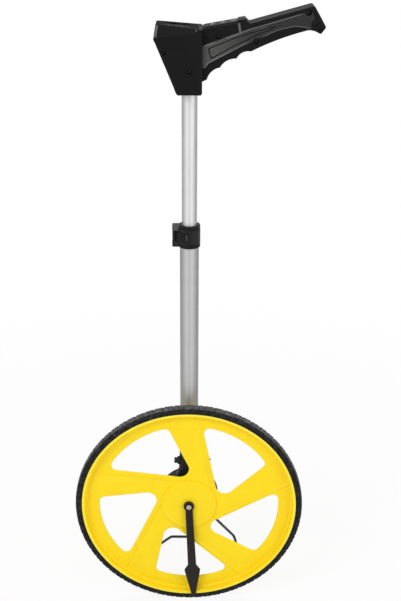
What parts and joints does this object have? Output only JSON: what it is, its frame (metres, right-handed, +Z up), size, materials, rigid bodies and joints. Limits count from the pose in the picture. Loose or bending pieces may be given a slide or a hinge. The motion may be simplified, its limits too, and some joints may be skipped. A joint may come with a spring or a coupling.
{
  "type": "digital measuring wheel",
  "caption": "Walking distance-measuring wheel: spoked wheel with tyre and pointer, wire stand, telescopic pole with a flip clamp, and a pistol handle with a display.",
  "frame": {"origin": "the point under the axle where the tyre meets the ground, in the tyre's middle plane", "axes": "+Z up the pole, +Y along the axle from the pointer side to the pole side, +X towards the end of the grip"},
  "size_m": [0.3185, 0.1506, 0.8393],
  "materials": {
    "tyre_rubber": "matte black rubber with cut tread",
    "wheel_yellow": "moulded yellow plastic, semi gloss",
    "hub_cover_yellow": "moulded yellow plastic, semi gloss",
    "bush_white": "plain white bearing plastic",
    "magnet_metal": "plated",
    "steel": "zinc plated",
    "bright_metal": "turned, bright",
    "bolt_metal": "blackened",
    "pointer_black": "moulded black plastic",
    "housing_black": "moulded black plastic, fine texture",
    "board_green": "circuit board",
    "wing_black": "moulded black plastic",
    "wire_dark": "black coated steel wire",
    "tube_aluminium": "satin anodised, drawn along its length",
    "liner_grey": "plain dark grey plastic",
    "clamp_black": "moulded black plastic",
    "handle_black": "moulded black plastic, fine texture",
    "insert_grey": "satin grey soft grip",
    "bezel_grey": "moulded dark grey plastic",
    "window_clear": "clear plastic window",
    "lcd_green": "grey green display panel",
    "key_dark": "dark grey soft key",
    "key_grey": "grey soft key",
    "cell_cover": "plain cell wrapper"
  },
  "bodies": {
    "frame": {"lower_tube": "tube_aluminium", "hub_housing": "housing_black", "housing_cover": "housing_black", "axle": "steel", "axle_nut": "steel", "rear_washer": "steel", "front_washer": "steel", "pointer_screw": "bright_metal", "sensor_board": "board_green", "cover_screws": "steel", "socket_bolt": "bolt_metal", "socket_wing_nut": "wing_black", "stand_clip": "housing_black", "clip_screw": "steel", "clamp_collar": "clamp_black", "clamp_pin": "steel", "tube_liner": "liner_grey"},
    "wheel": {"wheel_rim": "wheel_yellow", "tyre": "tyre_rubber", "hub_cover": "hub_cover_yellow", "front_bush": "bush_white", "rear_bush": "bush_white", "encoder_magnets": "magnet_metal"},
    "pointer": {"pointer": "pointer_black"},
    "stand": {"stand_wire": "wire_dark"},
    "clamp_lever": {"clamp_lever": "clamp_black"},
    "handle": {"upper_tube": "tube_aluminium", "guide_bush": "liner_grey", "ferrule": "liner_grey", "handle_shell_front": "handle_black", "handle_shell_rear": "handle_black", "grip_insert_front": "insert_grey", "grip_insert_rear": "insert_grey", "handle_screws": "steel", "display_bezel": "bezel_grey", "display_window": "window_clear", "lcd_panel": "lcd_green", "main_board": "board_green", "key_board": "board_green", "key_domes": "steel", "battery_tray": "handle_black", "battery_cells": "cell_cover", "battery_contacts": "steel"},
    "key_power": {"key_power": "key_dark"},
    "key_unit": {"key_unit": "key_grey"},
    "key_reset": {"key_reset": "key_grey"},
    "battery_door": {"battery_door": "handle_black", "door_contact": "steel"}
  },
  "joints": [
    {"name": "wheel_spin", "type": "hinge", "parent": "frame", "child": "wheel", "pos_m": [0, 0, 0.15915], "axis": [0, 1, 0], "continuous": true},
    {"name": "pointer_swing", "type": "hinge", "parent": "frame", "child": "pointer", "pos_m": [0, -0.004, 0.15915], "axis": [0, 1, 0], "continuous": true},
    {"name": "stand_fold", "type": "hinge", "parent": "frame", "child": "stand", "pos_m": [0, 0.0444, 0.13265], "axis": [1, 0, 0], "range_deg": [0, 140]},
    {"name": "clamp_lever_swing", "type": "hinge", "parent": "frame", "child": "clamp_lever", "pos_m": [-0.01615, 0.02755, 0.55915], "axis": [0, 0, -1], "range_deg": [0, 110]},
    {"name": "pole_slide", "type": "slide", "parent": "frame", "child": "handle", "axis": [0, 0, 1], "range_m": [-0.15, 0.1]},
    {"name": "key_power_press", "type": "slide", "parent": "handle", "child": "key_power", "axis": [0.1754, 0, -0.9845], "range_m": [0, 0.0005], "stiffness_N_per_m": 400, "springref_m": -0.0008},
    {"name": "key_unit_press", "type": "slide", "parent": "handle", "child": "key_unit", "axis": [0.1754, 0, -0.9845], "range_m": [0, 0.0005], "stiffness_N_per_m": 400, "springref_m": -0.0008},
    {"name": "key_reset_press", "type": "slide", "parent": "handle", "child": "key_reset", "axis": [0.1754, 0, -0.9845], "range_m": [0, 0.0005], "stiffness_N_per_m": 400, "springref_m": -0.0008},
    {"name": "battery_door_slide", "type": "slide", "parent": "handle", "child": "battery_door", "axis": [0, 1, 0], "range_m": [0, 0.03]}
  ]
}
